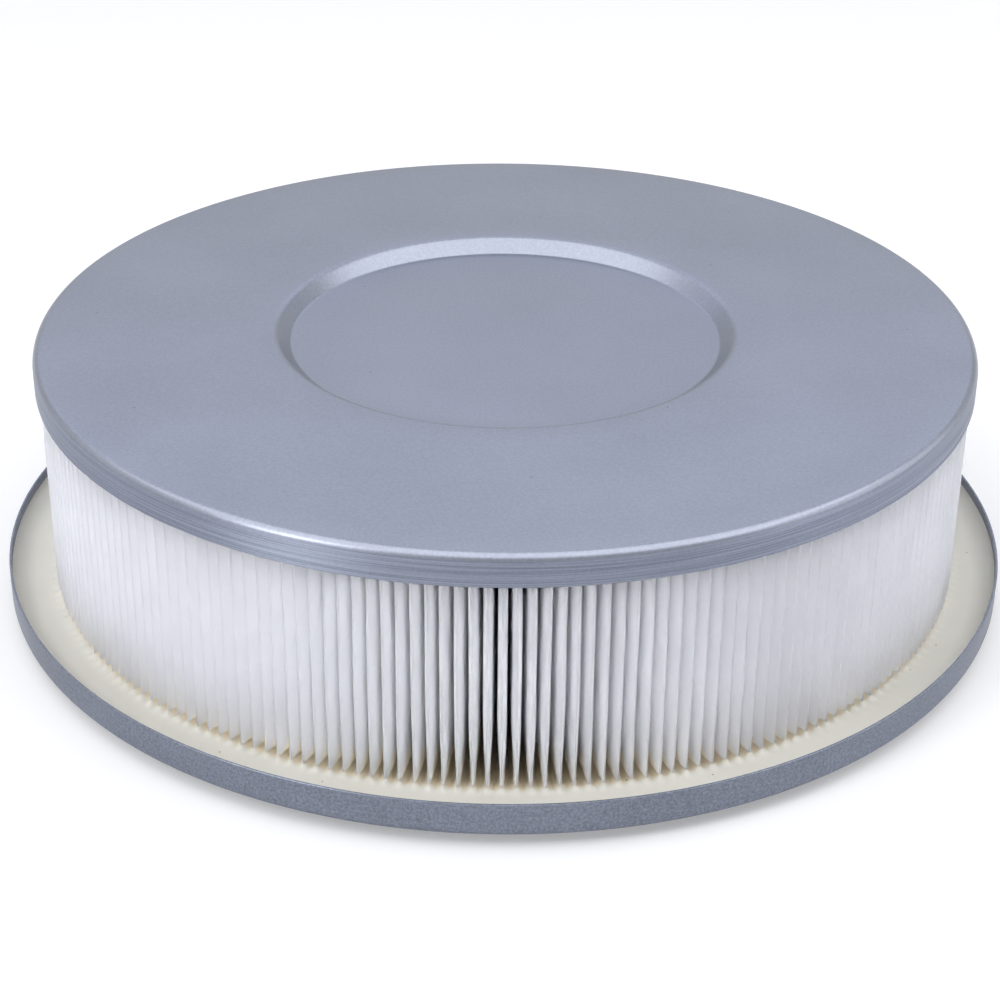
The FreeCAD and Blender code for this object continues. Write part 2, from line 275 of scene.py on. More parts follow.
def fibre_paper():
    material, tree, place = new_material("glass_fibre_filter_paper")
    fibres = add_node(
        tree, "ShaderNodeTexNoise", {"Vector": place, "Scale": per_metre(FIBRE_SIZE), "Detail": 4.0}
    ).outputs["Fac"]
    clouds = add_node(
        tree, "ShaderNodeTexNoise", {"Vector": place, "Scale": per_metre(FIBRE_CLOUD_SIZE), "Detail": 2.0}
    ).outputs["Fac"]
    height = add_node(tree, "ShaderNodeSeparateXYZ", {"Vector": place}).outputs["Z"]
    soak_height = add_node(
        tree,
        "ShaderNodeMapRange",
        {
            "Value": from_axis(tree, place),
            "From Min": (PLEAT_TIP - 6) * MM,
            "From Max": (PLEAT_TIP - 1) * MM,
            "To Min": (RESIN_LEVEL + SOAK_RISE_DEEP) * MM,
            "To Max": (RESIN_LEVEL + SOAK_RISE_AT_TIP) * MM,
        },
    ).outputs["Result"]
    ragged = add_node(
        tree, "ShaderNodeMath", {0: clouds, 1: SOAK_RAGGED * MM, 2: soak_height}, operation="MULTIPLY_ADD"
    ).outputs[0]
    above = add_node(tree, "ShaderNodeMath", {0: height, 1: ragged}, operation="SUBTRACT").outputs[0]
    stain_and_painted_light = add_node(
        tree,
        "ShaderNodeMapRange",
        {"Value": above, "From Min": -2.5 * MM, "From Max": 1.0 * MM, "To Min": 0.85, "To Max": 0.0},
        interpolation_type="SMOOTHSTEP",
    ).outputs["Result"]
    white = add_node(
        tree,
        "ShaderNodeMix",
        {0: clouds, 6: linear("#dbdce1"), 7: linear("#e4e5e9")},
        data_type="RGBA",
    ).outputs[2]
    # The stain is a real resin stain, but its colour is lighter than the clean paper: painted light in the
    # shaded feet.
    colour = add_node(
        tree,
        "ShaderNodeMix",
        {0: stain_and_painted_light, 6: white, 7: linear("#f5ead3")},
        data_type="RGBA",
    ).outputs[2]
    bump = add_node(
        tree, "ShaderNodeBump", {"Height": fibres, "Distance": 0.02 * MM, "Strength": 0.5}
    ).outputs["Normal"]
    shader = add_node(
        tree,
        "ShaderNodeBsdfPrincipled",
        {
            "Base Color": colour,
            "Roughness": 0.9,
            "Specular IOR Level": 0.2,
            "Subsurface Weight": 0.6,
            "Subsurface Radius": (1.0, 1.0, 1.0),
            "Subsurface Scale": 18.0 * MM,
            "Normal": bump,
        },
        subsurface_method="BURLEY",
    )
    add_node(tree, "ShaderNodeOutputMaterial", {"Surface": shader.outputs[0]})
    return material


paper = fibre_paper()
print("paper:", paper.name)

# %% [markdown]
# ## Poured polyurethane
#
# The potting resin is a cream two-part polyurethane. It is poured, so its face is level and a little glossy,
# with slow ripples and a few tiny dark specks. Between the pleats its colour is painted lighter and warmer:
# painted light for the warm light bounced round the shaded pockets there. It is slightly translucent: light
# spreads in it, and red farther than blue, so it gets subsurface scattering with a radius for each colour.

# %% Poured polyurethane
RIPPLE_SIZE = 14
DUST_SIZE = 0.7
SPECK_SPACING = 17


def poured_resin():
    material, tree, place = new_material("cream_poured_polyurethane")
    ripples = add_node(
        tree, "ShaderNodeTexNoise", {"Vector": place, "Scale": per_metre(RIPPLE_SIZE), "Detail": 2.0}
    ).outputs["Fac"]
    dust = add_node(
        tree, "ShaderNodeTexNoise", {"Vector": place, "Scale": per_metre(DUST_SIZE), "Detail": 2.0}
    ).outputs["Fac"]
    # Tiny dark specks scattered over the face.
    speck_cells = add_node(
        tree,
        "ShaderNodeTexVoronoi",
        {"Vector": place, "Scale": per_metre(SPECK_SPACING)},
        voronoi_dimensions="2D",
    ).outputs["Distance"]
    dark_specks = add_node(
        tree,
        "ShaderNodeMapRange",
        {"Value": speck_cells, "From Min": 0.006, "From Max": 0.018, "To Min": 0.8, "To Max": 0.0},
    ).outputs["Result"]
    # Between the pleats the cream is painted lighter and warmer: painted light for the shaded pockets.
    between = add_node(
        tree,
        "ShaderNodeMapRange",
        {
            "Value": from_axis(tree, place),
            "From Min": (PLEAT_TIP - 1.5) * MM,
            "From Max": (PLEAT_TIP + 0.3) * MM,
            "To Min": 1.0,
            "To Max": 0.0,
        },
        interpolation_type="SMOOTHSTEP",
    ).outputs["Result"]
    cream = add_node(
        tree,
        "ShaderNodeMix",
        {0: ripples, 6: linear("#e9e6dc"), 7: linear("#f0eee6")},
        data_type="RGBA",
    ).outputs[2]
    cream_with_painted_light = add_node(
        tree,
        "ShaderNodeMix",
        {0: between, 6: cream, 7: linear("#f8edd6")},
        data_type="RGBA",
    ).outputs[2]
    specked = add_node(
        tree,
        "ShaderNodeMix",
        {0: dark_specks, 6: cream_with_painted_light, 7: linear("#7c7462")},
        data_type="RGBA",
    ).outputs[2]
    sheen = add_node(
        tree, "ShaderNodeMapRange", {"Value": dust, "To Min": 0.38, "To Max": 0.56}
    ).outputs["Result"]
    waves = add_node(
        tree, "ShaderNodeBump", {"Height": ripples, "Distance": 0.5 * MM, "Strength": 0.25}
    ).outputs["Normal"]
    bump = add_node(
        tree, "ShaderNodeBump", {"Height": dust, "Distance": 0.02 * MM, "Strength": 0.4, "Normal": waves}
    ).outputs["Normal"]
    shader = add_node(
        tree,
        "ShaderNodeBsdfPrincipled",
        {
            "Base Color": specked,
            "Roughness": sheen,
            "IOR": 1.5,
            "Subsurface Weight": 0.5,
            "Subsurface Radius": (1.0, 0.8, 0.55),
            "Subsurface Scale": 10.0 * MM,
            "Normal": bump,
        },
        subsurface_method="BURLEY",
    )
    add_node(tree, "ShaderNodeOutputMaterial", {"Surface": shader.outputs[0]})
    return material


resin = poured_resin()
print("resin:", resin.name)

# %% [markdown]
# ## Closed-cell foam
#
# The gasket under the pan is black closed-cell foam, cut from sheet. Its face is a close pack of cut cells
# about 0.7 mm wide, so it is dull and slightly rough. A Voronoi pattern gives each cell its own small dish,
# and paints it darker towards its middle: painted shade in the hollow.

# %% Closed-cell foam
CELL_SIZE = 0.7


def cell_foam():
    material, tree, place = new_material("black_closed_cell_foam")
    cells = add_node(
        tree, "ShaderNodeTexVoronoi", {"Vector": place, "Scale": per_metre(CELL_SIZE)}
    ).outputs["Distance"]
    # Each cell is painted darker towards its middle, where the bump sinks it: painted shade in the hollow.
    colour = add_node(
        tree,
        "ShaderNodeMix",
        {0: cells, 6: linear("#1b1b1d"), 7: linear("#303033")},
        data_type="RGBA",
    ).outputs[2]
    bump = add_node(
        tree, "ShaderNodeBump", {"Height": cells, "Distance": 0.15 * MM, "Strength": 0.7}
    ).outputs["Normal"]
    shader = add_node(
        tree,
        "ShaderNodeBsdfPrincipled",
        {"Base Color": colour, "Roughness": 0.85, "Specular IOR Level": 0.3, "Normal": bump},
    )
    add_node(tree, "ShaderNodeOutputMaterial", {"Surface": shader.outputs[0]})
    return material


foam = cell_foam()
print("foam:", foam.name)

# %% [markdown]
# ## Turned sections
#
# A pressed cap is a body of revolution: one line, spun round the axis. A Screw modifier would spin it too,
# but a short function of our own closes the seam and the pole at once. The line is given by its corners, each
# with a bend radius, because that is how a press tool is drawn. The second face of the sheet is the same
# line moved inwards by the thickness, so the wall is even through every bend.

# %% Helpers for turned sections
SEGMENTS = 360
BEND_STEP = math.radians(10)


def left_of(direction):
    return Vector((-direction.y, direction.x))


def bent_line(corners, longest=7.0):
    """Points, with their left-hand normals, along (radius, height, bend radius) corners."""
    places = [Vector(corner[:2]) for corner in corners]
    runs = [(b - a).normalized() for a, b in zip(places, places[1:])]
    line = [(places[0], left_of(runs[0]))]
    for place, before, after, (_, _, bend) in zip(places[1:], runs, runs[1:], corners[1:]):
        turn = math.atan2(before.cross(after), before.dot(after))
        side = math.copysign(1, turn)
        start = place - before * bend * math.tan(abs(turn) / 2)
        centre = start + left_of(before) * side * bend
        steps = max(2, math.ceil(abs(turn) / BEND_STEP))
        for step in range(steps + 1):
            normal = left_of(Matrix.Rotation(turn * step / steps, 2) @ before)
            line.append((centre - normal * side * bend, normal))
    line.append((places[-1], left_of(runs[-1])))
    fine = []
    for (a, normal_a), (b, normal_b) in zip(line, line[1:]):
        pieces = max(1, math.ceil((b - a).length / longest))
        fine += [(a.lerp(b, i / pieces), normal_a.lerp(normal_b, i / pieces)) for i in range(pieces)]
    return fine + [line[-1]]


def sheet_section(corners, thickness, edge=0.12):
    """Closed section of a bent sheet on the right of its line; ends off the axis have broken edges."""
    line = bent_line(corners)
    face = [place for place, normal in line]
    back = [place - normal * thickness for place, normal in line]

    def cut_end(place, normal, outwards):
        return [
            place - outwards * edge,
            place - normal * edge,
            place - normal * (thickness - edge),
            place - normal * thickness - outwards * edge,
        ]

    end = cut_end(*line[-1], (face[-1] - face[-2]).normalized())
    section = face[:-1] + end + back[-2:0:-1]
    if face[0].x > 0:
        start = cut_end(*line[0], (face[0] - face[1]).normalized())
        return section[1:] + start[::-1]
    return section + [back[0]]


def add_object(name, mesh):
    piece = bpy.data.objects.new(name, mesh)
    bpy.context.scene.collection.objects.link(piece)
    return piece


def smooth(mesh, angle=40):
    """Smooth shading, with hard edges where faces meet at more than the angle."""
    mesh.shade_smooth()
    mesh.set_sharp_from_angle(angle=math.radians(angle))


def spun(name, section, material, segments=SEGMENTS):
    """Spins a closed section in millimetres, outside on its left, round Z; poles are single vertices."""
    turns = [2 * math.pi * i / segments for i in range(segments)]
    vertices, rings = [], []
    for radius, height in section:
        copies = turns if radius > 0 else turns[:1]
        rings.append([len(vertices) + i % len(copies) for i in range(segments)])
        vertices += [
            (radius * MM * math.cos(turn), radius * MM * math.sin(turn), height * MM) for turn in copies
        ]
    faces = []
    for ring, following in zip(rings, rings[1:] + rings[:1]):
        for i in range(segments):
            j = (i + 1) % segments
            face = list(dict.fromkeys((ring[i], following[i], following[j], ring[j])))
            if len(face) > 2:
                faces.append(face)
    mesh = bpy.data.meshes.new(name)
    mesh.from_pydata(vertices, [], faces)
    mesh.materials.append(material)
    return add_object(name, mesh)


def stands_for(piece, node):
    """The piece takes the CAD node's place on the one body: it rides the root, and the node is hidden."""
    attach(piece, "root")
    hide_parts(node)
    triangles = sum(len(face.vertices) - 2 for face in piece.data.polygons)
    print(f"{piece.name}: {triangles} triangles, stands for {node}")


# %% [markdown]
# ## The closed cap
#
# One disc of zinc-coated steel: the press turns its edge down into a skirt round a small shoulder, and
# sinks a shallow round recess in the middle, which locates the liner inside. A real sheet never comes off
# the press dead flat, so slow noise sinks the flats by up to about a tenth of a millimetre. That is too
# little to see as a shape, but enough to make the mirrored light drift across the plate. The faces that
# stand upright are the skirt, and they get the drawn finish, whose base colour is painted a little lighter
# than the plate's: painted light.

# %% The closed cap
SHOULDER_BEND = 2.2
RECESS_DEPTH = 3.4
RECESS_LIP = 59.0
RECESS_FLOOR = 55.2
LIP_BEND = 2.6
FLOOR_BEND = 1.0
PLATE_WAVE = 0.12
PLATE_WAVE_LENGTH = 55.0
FLAT_MARGIN = 3.0
UPRIGHT = 0.3


def on_flat(radius):
    """True on the recess floor and on the flat ring round it, in millimetres from the axis."""
    on_floor = radius < RECESS_FLOOR - FLAT_MARGIN
    on_ring = RECESS_LIP + FLAT_MARGIN < radius < CAP_RADIUS - SHOULDER_BEND - 1
    return on_floor or on_ring


def dent(mesh, depth, length):
    """Sinks the flats by slow noise, both faces of the sheet alike."""
    for vertex in mesh.vertices:
        place = vertex.co.xy.to_3d() / MM
        if on_flat(place.length):
            vertex.co.z -= depth * MM * (0.5 + 0.5 * noise.noise(place / length))


cap = spun(
    "pressed_cap",
    sheet_section(
        [
            (0, CAP_TOP - RECESS_DEPTH, 0),
            (RECESS_FLOOR, CAP_TOP - RECESS_DEPTH, FLOOR_BEND),
            (RECESS_LIP, CAP_TOP, LIP_BEND),
            (CAP_RADIUS, CAP_TOP, SHOULDER_BEND),
            (CAP_RADIUS, SKIRT_EDGE, 0),
        ],
        SHEET,
    ),
    cap_zinc,
)
dent(cap.data, PLATE_WAVE, PLATE_WAVE_LENGTH)
# Upright faces take the skirt's zinc: drawn lines, and a base colour painted lighter as painted light.
cap.data.materials.append(skirt_zinc)
for face in cap.data.polygons:
    face.material_index = int(abs(face.normal.z) < UPRIGHT)
smooth(cap.data)
stands_for(cap, "top_end_cap")

# %% [markdown]
# ## The flange pan
#
# A ring of the same steel with two upstands: the rim outside, which drops into the machine, and the collar
# round the outlet. Its section runs down the rim, across the underside and up the collar.

# %% The flange pan
RIM_BEND = 1.8
COLLAR_BEND = 1.5
pan = spun(
    "flange_pan",
    sheet_section(
        [
            (PAN_RADIUS, RIM_TOP, 0),
            (PAN_RADIUS, PAN_UNDERSIDE, RIM_BEND),
            (OUTLET_RADIUS, PAN_UNDERSIDE, COLLAR_BEND),
            (OUTLET_RADIUS, COLLAR_TOP, 0),
        ],
        SHEET,
    ),
    pan_zinc,
)
smooth(pan.data)
stands_for(pan, "bottom_end_cap")

# %% [markdown]
# ## The folded paper
#
# The pleats are the heart of the filter: one strip, folded to and fro 225 times between the liner and the
# skirt. Modelling one pleat and copying it round would look like a gear. Here a circle with eight points for
# each pleat is pulled into a zigzag, four points for the fold at the tip and four for the fold at the root.
# Two of the four make a sharp crease, and two stand behind it, where the paper bellies out at the tip. Each
# fold has a number, and seeded random values tied to that number shift it a little.

# %% Helpers for geometry trees


def new_geometry_tree(name, inputs):
    """A geometry tree with named inputs, its input node, and the identifiers that set them."""
    tree = bpy.data.node_groups.new(name, "GeometryNodeTree")
    tree.interface.new_socket("Geometry", in_out="OUTPUT", socket_type="NodeSocketGeometry")
    keys = {
        label: tree.interface.new_socket(label, in_out="INPUT", socket_type=kind).identifier
        for label, kind in inputs.items()
    }
    return tree, add_node(tree, "NodeGroupInput").outputs, keys


def end_tree(tree, geometry, material):
    """Realizes instances, sets the material and ends the tree."""
    real = add_node(tree, "GeometryNodeRealizeInstances", {"Geometry": geometry}).outputs[0]
    dressed = add_node(
        tree, "GeometryNodeSetMaterial", {"Geometry": real, "Material": material}
    ).outputs[0]
    add_node(tree, "NodeGroupOutput", {0: dressed})
    print(f"{tree.name}: a tree of {len(tree.nodes)} nodes")


# %% Number the points of the zigzag
POINTS_PER_FOLD = 4
FOLD_CENTRE = 0.375


def numbered_points(tree):
    """Each point's fold and side, 1 where it is a belly point, and 1 where its fold is at the root."""
    index = add_node(tree, "GeometryNodeInputIndex").outputs[0]
    count = add_node(
        tree, "ShaderNodeMath", {0: index, 1: 1 / POINTS_PER_FOLD}, operation="MULTIPLY"
    ).outputs[0]
    fold = add_node(tree, "ShaderNodeMath", {0: count}, operation="FLOOR").outputs[0]
    in_fold = add_node(tree, "ShaderNodeMath", {0: count}, operation="FRACT").outputs[0]
    centred = add_node(
        tree, "ShaderNodeMath", {0: in_fold, 1: FOLD_CENTRE}, operation="SUBTRACT"
    ).outputs[0]
    side = add_node(tree, "ShaderNodeMath", {0: centred}, operation="SIGN").outputs[0]
    apart = add_node(tree, "ShaderNodeMath", {0: centred}, operation="ABSOLUTE").outputs[0]
    is_belly = add_node(
        tree, "ShaderNodeMath", {0: apart, 1: 1 / POINTS_PER_FOLD}, operation="GREATER_THAN"
    ).outputs[0]
    is_root = add_node(tree, "ShaderNodeMath", {0: fold, 1: 2.0}, operation="MODULO").outputs[0]
    return fold, side, is_belly, is_root


def fold_direction(tree, given, fold):
    """The angle of the fold's middle plane, shifted a little at random; the first fold faces the front."""
    half_pitch = add_node(
        tree, "ShaderNodeMath", {0: math.pi, 1: given["Pleats"]}, operation="DIVIDE"
    ).outputs[0]
    scatter = add_node(
        tree, "FunctionNodeRandomValue", {2: -1.0, 3: 1.0, "ID": fold, "Seed": given["Seed"]}
    ).outputs[1]
    shift = add_node(
        tree, "ShaderNodeMath", {0: scatter, 1: given["Spacing Scatter"], 2: fold}, operation="MULTIPLY_ADD"
    ).outputs[0]
    return add_node(
        tree, "ShaderNodeMath", {0: shift, 1: half_pitch, 2: -math.pi / 2}, operation="MULTIPLY_ADD"
    ).outputs[0]


# %% Radius and width of the folds


def crease_radius(tree, given, fold, is_root):
    """The root's radius, or the tip's less a small random depth."""
    next_seed = add_node(tree, "ShaderNodeMath", {0: given["Seed"], 1: 1.0}, operation="ADD").outputs[0]
    shallow = add_node(
        tree, "FunctionNodeRandomValue", {2: 0.0, 3: 1.0, "ID": fold, "Seed": next_seed}
    ).outputs[1]
    less = add_node(
        tree, "ShaderNodeMath", {0: shallow, 1: given["Depth Scatter"]}, operation="MULTIPLY"
    ).outputs[0]
    tip = add_node(tree, "ShaderNodeMath", {0: given["Tip Radius"], 1: less}, operation="SUBTRACT").outputs[0]
    return add_node(
        tree, "ShaderNodeMix", {0: is_root, 2: tip, 3: given["Root Radius"]}, data_type="FLOAT"
    ).outputs[0]


def crease_or_belly(tree, given, crease, is_belly, is_root):
    """Radius, half width and bend of a point: on the crease, or behind it on the belly."""
    backwards = add_node(
        tree, "ShaderNodeMath", {0: is_root, 1: 2.0, 2: -1.0}, operation="MULTIPLY_ADD"
    ).outputs[0]
    belly_way = add_node(tree, "ShaderNodeMath", {0: backwards, 1: is_belly}, operation="MULTIPLY").outputs[0]
    radius = add_node(
        tree,
        "ShaderNodeMath",
        {0: belly_way, 1: given["Belly Depth"], 2: crease},
        operation="MULTIPLY_ADD",
    ).outputs[0]
    is_outer_belly = add_node(
        tree, "ShaderNodeMath", {0: is_belly, 1: is_root}, operation="GREATER_THAN"
    ).outputs[0]
    half_width = add_node(
        tree,
        "ShaderNodeMix",
        {0: is_outer_belly, 2: given["Crease Half Width"], 3: given["Belly Half Width"]},
        data_type="FLOAT",
    ).outputs[0]
    bend = add_node(
        tree, "ShaderNodeMix", {0: is_belly, 2: half_width, 3: given["Belly Depth"]}, data_type="FLOAT"
    ).outputs[0]
    return radius, half_width, bend


# %% [markdown]
# Two values ride along with each point into the sheet, because the sheet has no fold numbers of its own: the
# number, and the direction of the fold's middle plane. Fillets then round the creases and the bellies.

# %% Pull a circle into the zigzag


def on_circle(tree, radius, angle, height=0.0):
    """The place at that radius, angle and height."""
    cosine = add_node(tree, "ShaderNodeMath", {0: angle}, operation="COSINE").outputs[0]
    sine = add_node(tree, "ShaderNodeMath", {0: angle}, operation="SINE").outputs[0]
    x = add_node(tree, "ShaderNodeMath", {0: radius, 1: cosine}, operation="MULTIPLY").outputs[0]
    y = add_node(tree, "ShaderNodeMath", {0: radius, 1: sine}, operation="MULTIPLY").outputs[0]
    return add_node(tree, "ShaderNodeCombineXYZ", {0: x, 1: y, 2: height}).outputs[0]


def zigzag_line(tree, given):
    """A closed zigzag with rounded folds, at the height of the foot."""
    points = add_node(
        tree, "ShaderNodeMath", {0: given["Pleats"], 1: 2.0 * POINTS_PER_FOLD}, operation="MULTIPLY"
    ).outputs[0]
    circle = add_node(tree, "GeometryNodeCurvePrimitiveCircle", {"Resolution": points}).outputs["Curve"]
    fold, side, is_belly, is_root = numbered_points(tree)
    direction = fold_direction(tree, given, fold)
    crease = crease_radius(tree, given, fold, is_root)
    radius, half_width, bend = crease_or_belly(tree, given, crease, is_belly, is_root)
    half_angle = add_node(tree, "ShaderNodeMath", {0: half_width, 1: radius}, operation="DIVIDE").outputs[0]
    angle = add_node(
        tree, "ShaderNodeMath", {0: side, 1: half_angle, 2: direction}, operation="MULTIPLY_ADD"
    ).outputs[0]
    middle = on_circle(tree, 1.0, direction)
    numbered = circle
    for name, kind, field in (("fold", "FLOAT", fold), ("middle", "FLOAT_VECTOR", middle)):
        numbered = add_node(
            tree,
            "GeometryNodeStoreNamedAttribute",
            {"Geometry": numbered, "Name": name, "Value": field},
            data_type=kind,
        ).outputs[0]
    pulled = add_node(
        tree,
        "GeometryNodeSetPosition",
        {"Geometry": numbered, "Position": on_circle(tree, radius, angle, given["Foot"])},
    ).outputs[0]
    bend_steps = add_node(tree, "ShaderNodeMath", {0: 2.0, 1: is_belly}, operation="SUBTRACT").outputs[0]
    return add_node(
        tree,
        "GeometryNodeFilletCurve",
        {"Curve": pulled, "Count": bend_steps, "Radius": bend, "Limit Radius": True},
        mode="POLY",
    ).outputs[0]


# %% Sweep the zigzag up into a sheet


def swept_sheet(tree, given, line):
    """The line swept from the foot to the top, in rows."""
    upright = add_node(tree, "GeometryNodeSetCurveNormal", {"Curve": line}, mode="Z_UP").outputs[0]
    below = add_node(
        tree, "ShaderNodeMath", {0: given["Foot"], 1: given["Top"]}, operation="SUBTRACT"
    ).outputs[0]
    end = add_node(tree, "ShaderNodeCombineXYZ", {1: below}).outputs[0]
    edge = add_node(tree, "GeometryNodeCurvePrimitiveLine", {"End": end}).outputs[0]
    rows = add_node(tree, "GeometryNodeSubdivideCurve", {"Curve": edge, "Cuts": given["Rows"]}).outputs[0]
    return add_node(tree, "GeometryNodeCurveToMesh", {"Curve": upright, "Profile Curve": rows}).outputs[0]


# %% [markdown]
# The liner holds the folds at the root, and the resin holds them at the foot. So noise on the fold's number
# and on the height makes the folds lean and bow, more so towards the tips, and near the foot each fold is
# pinched towards its middle plane.

# %% Lean and pinch of the folds
FOLD_STRIDE = 3.7


def leaning(tree, given, place, height, freedom):
    """How far each point sways sideways; the stride keeps neighbouring folds apart in the noise."""
    number = add_node(
        tree, "GeometryNodeInputNamedAttribute", {"Name": "fold"}, data_type="FLOAT"
    ).outputs[0]
    climb = add_node(
        tree, "ShaderNodeMath", {0: height, 1: given["Lean Length"]}, operation="DIVIDE"
    ).outputs[0]
    spread = add_node(tree, "ShaderNodeMath", {0: number, 1: FOLD_STRIDE}, operation="MULTIPLY").outputs[0]
    where = add_node(tree, "ShaderNodeCombineXYZ", {0: spread, 1: climb, 2: given["Seed"]}).outputs[0]
    wave = add_node(
        tree, "ShaderNodeTexNoise", {"Vector": where, "Scale": 1.0, "Detail": 1.0}
    ).outputs["Fac"]
    swing = add_node(
        tree,
        "ShaderNodeMapRange",
        {"Value": wave, "From Min": 0.2, "From Max": 0.8, "To Min": -1.0, "To Max": 1.0},
    ).outputs["Result"]
    sway = add_node(tree, "ShaderNodeMath", {0: swing, 1: freedom}, operation="MULTIPLY").outputs[0]
    amount = add_node(tree, "ShaderNodeMath", {0: sway, 1: given["Lean"]}, operation="MULTIPLY").outputs[0]
    around = add_node(
        tree, "ShaderNodeVectorMath", {0: (0.0, 0.0, 1.0), 1: place}, operation="CROSS_PRODUCT"
    ).outputs[0]
    sideways = add_node(tree, "ShaderNodeVectorMath", {0: around}, operation="NORMALIZE").outputs[0]
    return add_node(
        tree, "ShaderNodeVectorMath", {0: sideways, "Scale": amount}, operation="SCALE"
    ).outputs[0]


def pinching(tree, given, place, height, freedom):
    """How far each point is from where the pinch moves it, measured from the fold's middle plane."""
    pinch_end = add_node(
        tree, "ShaderNodeMath", {0: given["Foot"], 1: given["Pinch Height"]}, operation="ADD"
    ).outputs[0]
    pinch = add_node(
        tree,
        "ShaderNodeMapRange",
        {
            "Value": height,
            "From Min": given["Foot"],
            "From Max": pinch_end,
            "To Min": given["Pinch"],
            "To Max": 0.0,
        },
        interpolation_type="SMOOTHSTEP",
    ).outputs["Result"]
    tip_pinch = add_node(tree, "ShaderNodeMath", {0: pinch, 1: freedom}, operation="MULTIPLY").outputs[0]
    middle = add_node(
        tree, "GeometryNodeInputNamedAttribute", {"Name": "middle"}, data_type="FLOAT_VECTOR"
    ).outputs[0]
    across = add_node(
        tree, "ShaderNodeVectorMath", {0: (0.0, 0.0, 1.0), 1: middle}, operation="CROSS_PRODUCT"
    ).outputs[0]
    from_middle = add_node(
        tree, "ShaderNodeVectorMath", {0: place, 1: across}, operation="DOT_PRODUCT"
    ).outputs["Value"]
    inwards = add_node(
        tree, "ShaderNodeMath", {0: from_middle, 1: tip_pinch}, operation="MULTIPLY"
    ).outputs[0]
    return add_node(
        tree, "ShaderNodeVectorMath", {0: across, "Scale": inwards}, operation="SCALE"
    ).outputs[0]


# %% The whole tree for folded pleats


def pleat_tree():
    tree, given, keys = new_geometry_tree("folded_pleats", {
        "Pleats": "NodeSocketInt",
        "Tip Radius": "NodeSocketFloat",
        "Root Radius": "NodeSocketFloat",
        "Foot": "NodeSocketFloat",
        "Top": "NodeSocketFloat",
        "Crease Half Width": "NodeSocketFloat",
        "Belly Half Width": "NodeSocketFloat",
        "Belly Depth": "NodeSocketFloat",
        "Pinch": "NodeSocketFloat",
        "Pinch Height": "NodeSocketFloat",
        "Spacing Scatter": "NodeSocketFloat",
        "Depth Scatter": "NodeSocketFloat",
        "Lean": "NodeSocketFloat",
        "Lean Length": "NodeSocketFloat",
        "Rows": "NodeSocketInt",
        "Seed": "NodeSocketInt",
        "Material": "NodeSocketMaterial",
    })
    sheet = swept_sheet(tree, given, zigzag_line(tree, given))
    place = add_node(tree, "GeometryNodeInputPosition").outputs[0]
    height = add_node(tree, "ShaderNodeSeparateXYZ", {0: place}).outputs["Z"]
    freedom = add_node(
        tree,
        "ShaderNodeMapRange",
        {
            "Value": from_axis(tree, place),
            "From Min": given["Root Radius"],
            "From Max": given["Tip Radius"],
        },
    ).outputs["Result"]
    lean = leaning(tree, given, place, height, freedom)
    pinch = pinching(tree, given, place, height, freedom)
    offset = add_node(tree, "ShaderNodeVectorMath", {0: lean, 1: pinch}, operation="SUBTRACT").outputs[0]
    shaped = add_node(tree, "GeometryNodeSetPosition", {"Geometry": sheet, "Offset": offset}).outputs[0]
    end_tree(tree, shaped, given["Material"])
    return tree, keys


# %% Helpers to run a tree


def grow(name, tree, keys, values, base=None):
    """Runs a geometry tree on a new object, with its named inputs set by identifier."""
    carrier = add_object(name, base or bpy.data.meshes.new(name))
    modifier = carrier.modifiers.new("grow", "NODES")
    modifier.node_group = tree
    for label, setting in values.items():
        modifier[keys[label]] = setting
    return carrier


def settle(carrier):
    """Turns the result of the modifiers into the object's own plain mesh."""
    bpy.context.view_layer.update()
    graph = bpy.context.evaluated_depsgraph_get()
    mesh = bpy.data.meshes.new_from_object(carrier.evaluated_get(graph))
    mesh.name = carrier.name
    carrier.modifiers.clear()
    carrier.data = mesh


# %% [markdown]
# The strip is still a sheet without thickness. Solidify gives the paper its thickness, half to each side, and
# the result becomes a plain mesh.

# %% Fold the paper
PAPER = 0.35
PLEATS = 225
CREASE_HALF_WIDTH = 0.19
BELLY_HALF_WIDTH = 0.88
BELLY_DEPTH = 2.6
ROOT_CLEARANCE = 0.5
PAPER_SUNK = 2.5
tree, keys = pleat_tree()
pleats = grow("folded_paper", tree, keys, {
    "Pleats": PLEATS,
    "Tip Radius": (PLEAT_TIP - PAPER / 2) * MM,
    "Root Radius": (LINER_RADIUS + ROOT_CLEARANCE + PAPER / 2) * MM,
    "Foot": (RESIN_LEVEL - PAPER_SUNK) * MM,
    "Top": PLEAT_TOP * MM,
    "Crease Half Width": CREASE_HALF_WIDTH * MM,
    "Belly Half Width": BELLY_HALF_WIDTH * MM,
    "Belly Depth": BELLY_DEPTH * MM,
    "Pinch": 0.75,
    "Pinch Height": 18 * MM,
    "Spacing Scatter": 0.05,
    "Depth Scatter": 0.2 * MM,
    "Lean": 0.18 * MM,
    "Lean Length": 40 * MM,
    "Rows": 8,
    "Seed": 11,
    "Material": paper,
})
thickness = pleats.modifiers.new("paper", "SOLIDIFY")
thickness.thickness = PAPER * MM
thickness.offset = 0
settle(pleats)
smooth(pleats.data, angle=60)
stands_for(pleats, "pleated_media")

# %% [markdown]
# ## The poured resin
#
# The pan is filled with resin before the pack goes in, so the paper stands in it, and the resin climbs what
# stands in it: the rim, and every pleat. The climb up the rim is part of the turned section. The climb up the
# pleats follows a rule, high at the paper and mostly gone within a millimetre, so Geometry Nodes measures how
# far each point of the surface is from the folded paper and lifts it by that rule. The pool itself stands a
# little lower than the CAD's flat resin, because the climb makes up for it.

# %% A tree for resin that climbs the paper


